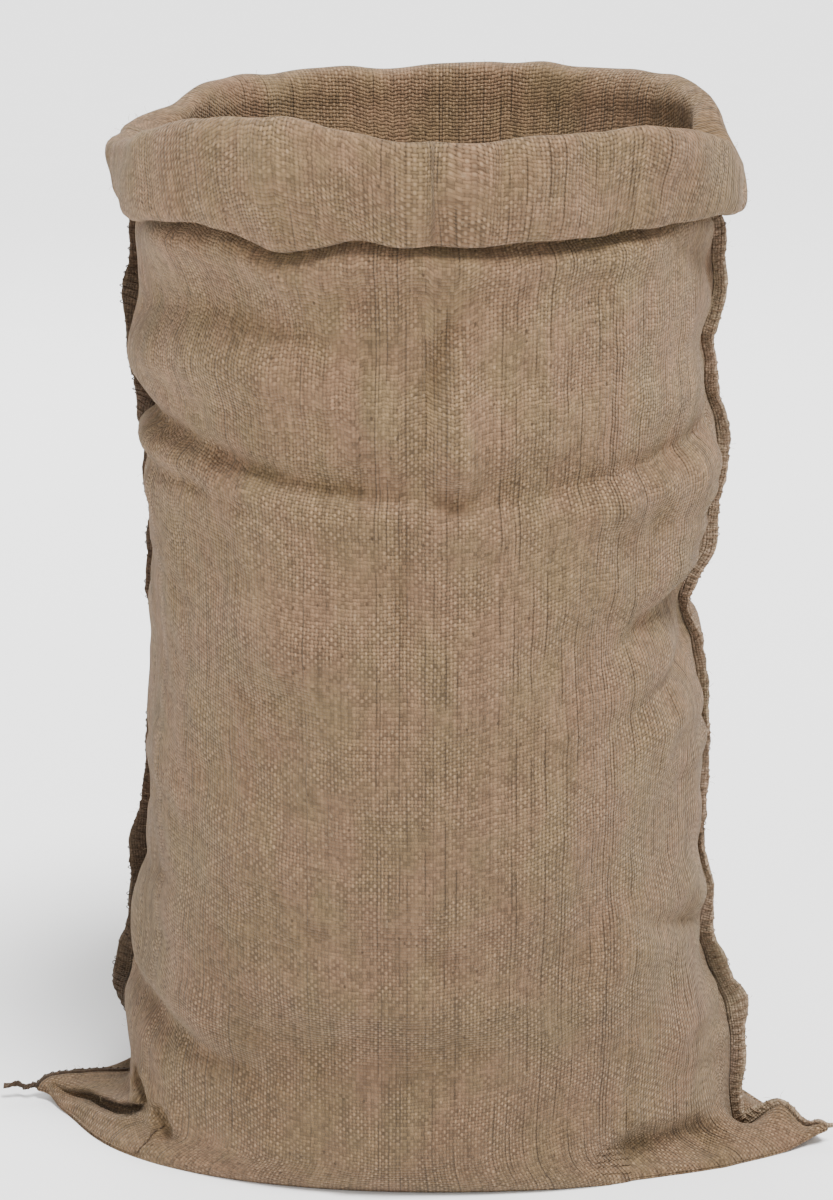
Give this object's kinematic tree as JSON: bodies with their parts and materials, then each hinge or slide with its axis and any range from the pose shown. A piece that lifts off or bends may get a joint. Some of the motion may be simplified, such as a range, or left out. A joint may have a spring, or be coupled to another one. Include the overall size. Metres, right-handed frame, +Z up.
{
  "type": "sack",
  "caption": "Filled-out hessian sack standing open on the floor, with a turned-down cuff at the mouth, sewn side seams and flattened corner ears at the bottom",
  "frame": {"origin": "on the floor, under the middle of the sack's box", "axes": "+Z up from the floor to the mouth, +X along the bottom fold to the right ear, -Y the front"},
  "size_m": [0.5139, 0.3217, 0.6209],
  "materials": {
    "hessian": "coarse plain-woven jute, matt",
    "sewn_edge": "doubled, overcast edge of the same jute, in shade-dark thread"
  },
  "bodies": {
    "root": {"hessian_cloth": "hessian", "left_seam": "sewn_edge", "right_seam": "sewn_edge"}
  },
  "joints": []
}
